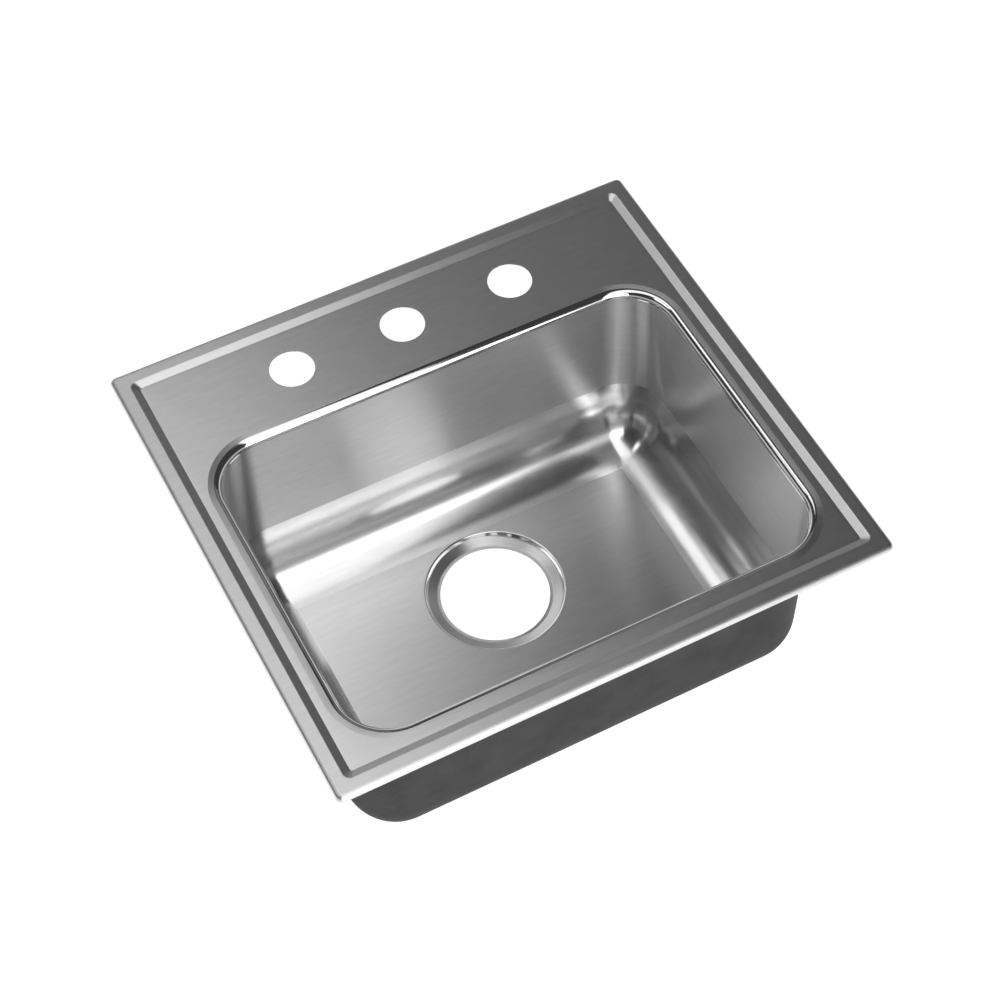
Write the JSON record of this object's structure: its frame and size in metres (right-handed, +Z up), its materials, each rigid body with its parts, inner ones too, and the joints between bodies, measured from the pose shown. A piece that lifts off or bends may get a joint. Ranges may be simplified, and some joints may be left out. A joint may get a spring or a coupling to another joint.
{
  "type": "drop-in kitchen sink",
  "caption": "Drop-in kitchen sink: brushed stainless bowl and faucet ledge with a raised self-rimming edge, dark coated outside, hung by under-rim channels, T-bolts and swing clamps.",
  "frame": {"origin": "middle of the rim's outline, on the face of the countertop that the rim rests on", "axes": "+Z up, +Y to the faucet ledge at the back, +X along the wider side to the right"},
  "size_m": [0.4826, 0.4444, 0.1952],
  "materials": {
    "brushed_stainless": "number 4 brushed satin, grain along the width, polished at the bowl's top bend",
    "deadening_coat": "matt sprayed sound-deadening coat with a fine pebbled skin",
    "zinc_plate": "bright zinc-plated steel"
  },
  "bodies": {
    "root": {"sink_shell": "brushed_stainless", "undercoat": "deadening_coat", "rail_front": "zinc_plate", "rail_back": "zinc_plate", "rail_left": "zinc_plate", "rail_right": "zinc_plate"},
    "bolt_front_left": {"bolt_front_left": "zinc_plate"},
    "washer_front_left": {"washer_front_left": "zinc_plate"},
    "nut_front_left": {"nut_front_left": "zinc_plate"},
    "clamp_front_left": {"clamp_front_left": "zinc_plate"},
    "bolt_front_right": {"bolt_front_right": "zinc_plate"},
    "washer_front_right": {"washer_front_right": "zinc_plate"},
    "nut_front_right": {"nut_front_right": "zinc_plate"},
    "clamp_front_right": {"clamp_front_right": "zinc_plate"},
    "bolt_right_front": {"bolt_right_front": "zinc_plate"},
    "washer_right_front": {"washer_right_front": "zinc_plate"},
    "nut_right_front": {"nut_right_front": "zinc_plate"},
    "clamp_right_front": {"clamp_right_front": "zinc_plate"},
    "bolt_right_back": {"bolt_right_back": "zinc_plate"},
    "washer_right_back": {"washer_right_back": "zinc_plate"},
    "nut_right_back": {"nut_right_back": "zinc_plate"},
    "clamp_right_back": {"clamp_right_back": "zinc_plate"},
    "bolt_back_right": {"bolt_back_right": "zinc_plate"},
    "washer_back_right": {"washer_back_right": "zinc_plate"},
    "nut_back_right": {"nut_back_right": "zinc_plate"},
    "clamp_back_right": {"clamp_back_right": "zinc_plate"},
    "bolt_back_left": {"bolt_back_left": "zinc_plate"},
    "washer_back_left": {"washer_back_left": "zinc_plate"},
    "nut_back_left": {"nut_back_left": "zinc_plate"},
    "clamp_back_left": {"clamp_back_left": "zinc_plate"},
    "bolt_left_back": {"bolt_left_back": "zinc_plate"},
    "washer_left_back": {"washer_left_back": "zinc_plate"},
    "nut_left_back": {"nut_left_back": "zinc_plate"},
    "clamp_left_back": {"clamp_left_back": "zinc_plate"},
    "bolt_left_front": {"bolt_left_front": "zinc_plate"},
    "washer_left_front": {"washer_left_front": "zinc_plate"},
    "nut_left_front": {"nut_left_front": "zinc_plate"},
    "clamp_left_front": {"clamp_left_front": "zinc_plate"}
  },
  "joints": [
    {"name": "slide_front_left", "type": "slide", "parent": "root", "child": "bolt_front_left", "axis": [1, 0, 0], "range_m": [-0.025, 0.025]},
    {"name": "lift_front_left", "type": "slide", "parent": "bolt_front_left", "child": "washer_front_left", "axis": [0, 0, 1], "range_m": [-0.0029, 0.0119]},
    {"name": "turn_front_left", "type": "hinge", "parent": "washer_front_left", "child": "nut_front_left", "pos_m": [-0.12, -0.19675, -0.03], "axis": [0, 0, 1], "range_deg": [-990, 4050]},
    {"name": "swing_front_left", "type": "hinge", "parent": "washer_front_left", "child": "clamp_front_left", "pos_m": [-0.12, -0.19675, -0.0255], "axis": [0, 0, 1], "range_deg": [0, 180]},
    {"name": "slide_front_right", "type": "slide", "parent": "root", "child": "bolt_front_right", "axis": [1, 0, 0], "range_m": [-0.025, 0.025]},
    {"name": "lift_front_right", "type": "slide", "parent": "bolt_front_right", "child": "washer_front_right", "axis": [0, 0, 1], "range_m": [-0.0029, 0.0119]},
    {"name": "turn_front_right", "type": "hinge", "parent": "washer_front_right", "child": "nut_front_right", "pos_m": [0.12, -0.19675, -0.03], "axis": [0, 0, 1], "range_deg": [-990, 4050]},
    {"name": "swing_front_right", "type": "hinge", "parent": "washer_front_right", "child": "clamp_front_right", "pos_m": [0.12, -0.19675, -0.0255], "axis": [0, 0, -1], "range_deg": [0, 180]},
    {"name": "slide_right_front", "type": "slide", "parent": "root", "child": "bolt_right_front", "axis": [0, 1, 0], "range_m": [-0.025, 0.025]},
    {"name": "lift_right_front", "type": "slide", "parent": "bolt_right_front", "child": "washer_right_front", "axis": [0, 0, 1], "range_m": [-0.0029, 0.0119]},
    {"name": "turn_right_front", "type": "hinge", "parent": "washer_right_front", "child": "nut_right_front", "pos_m": [0.2158, -0.09, -0.03], "axis": [0, 0, 1], "range_deg": [-990, 4050]},
    {"name": "swing_right_front", "type": "hinge", "parent": "washer_right_front", "child": "clamp_right_front", "pos_m": [0.2158, -0.09, -0.0255], "axis": [0, 0, 1], "range_deg": [0, 180]},
    {"name": "slide_right_back", "type": "slide", "parent": "root", "child": "bolt_right_back", "axis": [0, 1, 0], "range_m": [-0.025, 0.025]},
    {"name": "lift_right_back", "type": "slide", "parent": "bolt_right_back", "child": "washer_right_back", "axis": [0, 0, 1], "range_m": [-0.0029, 0.0119]},
    {"name": "turn_right_back", "type": "hinge", "parent": "washer_right_back", "child": "nut_right_back", "pos_m": [0.2158, 0.09, -0.03], "axis": [0, 0, 1], "range_deg": [-990, 4050]},
    {"name": "swing_right_back", "type": "hinge", "parent": "washer_right_back", "child": "clamp_right_back", "pos_m": [0.2158, 0.09, -0.0255], "axis": [0, 0, -1], "range_deg": [0, 180]},
    {"name": "slide_back_right", "type": "slide", "parent": "root", "child": "bolt_back_right", "axis": [1, 0, 0], "range_m": [-0.025, 0.025]},
    {"name": "lift_back_right", "type": "slide", "parent": "bolt_back_right", "child": "washer_back_right", "axis": [0, 0, 1], "range_m": [-0.0029, 0.0119]},
    {"name": "turn_back_right", "type": "hinge", "parent": "washer_back_right", "child": "nut_back_right", "pos_m": [0.15, 0.19675, -0.03], "axis": [0, 0, 1], "range_deg": [-990, 4050]},
    {"name": "swing_back_right", "type": "hinge", "parent": "washer_back_right", "child": "clamp_back_right", "pos_m": [0.15, 0.19675, -0.0255], "axis": [0, 0, 1], "range_deg": [0, 180]},
    {"name": "slide_back_left", "type": "slide", "parent": "root", "child": "bolt_back_left", "axis": [1, 0, 0], "range_m": [-0.025, 0.025]},
    {"name": "lift_back_left", "type": "slide", "parent": "bolt_back_left", "child": "washer_back_left", "axis": [0, 0, 1], "range_m": [-0.0029, 0.0119]},
    {"name": "turn_back_left", "type": "hinge", "parent": "washer_back_left", "child": "nut_back_left", "pos_m": [-0.15, 0.19675, -0.03], "axis": [0, 0, 1], "range_deg": [-990, 4050]},
    {"name": "swing_back_left", "type": "hinge", "parent": "washer_back_left", "child": "clamp_back_left", "pos_m": [-0.15, 0.19675, -0.0255], "axis": [0, 0, -1], "range_deg": [0, 180]},
    {"name": "slide_left_back", "type": "slide", "parent": "root", "child": "bolt_left_back", "axis": [0, 1, 0], "range_m": [-0.025, 0.025]},
    {"name": "lift_left_back", "type": "slide", "parent": "bolt_left_back", "child": "washer_left_back", "axis": [0, 0, 1], "range_m": [-0.0029, 0.0119]},
    {"name": "turn_left_back", "type": "hinge", "parent": "washer_left_back", "child": "nut_left_back", "pos_m": [-0.2158, 0.09, -0.03], "axis": [0, 0, 1], "range_deg": [-990, 4050]},
    {"name": "swing_left_back", "type": "hinge", "parent": "washer_left_back", "child": "clamp_left_back", "pos_m": [-0.2158, 0.09, -0.0255], "axis": [0, 0, 1], "range_deg": [0, 180]},
    {"name": "slide_left_front", "type": "slide", "parent": "root", "child": "bolt_left_front", "axis": [0, 1, 0], "range_m": [-0.025, 0.025]},
    {"name": "lift_left_front", "type": "slide", "parent": "bolt_left_front", "child": "washer_left_front", "axis": [0, 0, 1], "range_m": [-0.0029, 0.0119]},
    {"name": "turn_left_front", "type": "hinge", "parent": "washer_left_front", "child": "nut_left_front", "pos_m": [-0.2158, -0.09, -0.03], "axis": [0, 0, 1], "range_deg": [-990, 4050]},
    {"name": "swing_left_front", "type": "hinge", "parent": "washer_left_front", "child": "clamp_left_front", "pos_m": [-0.2158, -0.09, -0.0255], "axis": [0, 0, -1], "range_deg": [0, 180]}
  ],
  "couplings": [
    {"joint": "turn_front_left", "follows": "lift_front_left", "rad_per_m": 5936.9},
    {"joint": "turn_front_right", "follows": "lift_front_right", "rad_per_m": 5936.9},
    {"joint": "turn_right_front", "follows": "lift_right_front", "rad_per_m": 5936.9},
    {"joint": "turn_right_back", "follows": "lift_right_back", "rad_per_m": 5936.9},
    {"joint": "turn_back_right", "follows": "lift_back_right", "rad_per_m": 5936.9},
    {"joint": "turn_back_left", "follows": "lift_back_left", "rad_per_m": 5936.9},
    {"joint": "turn_left_back", "follows": "lift_left_back", "rad_per_m": 5936.9},
    {"joint": "turn_left_front", "follows": "lift_left_front", "rad_per_m": 5936.9}
  ]
}
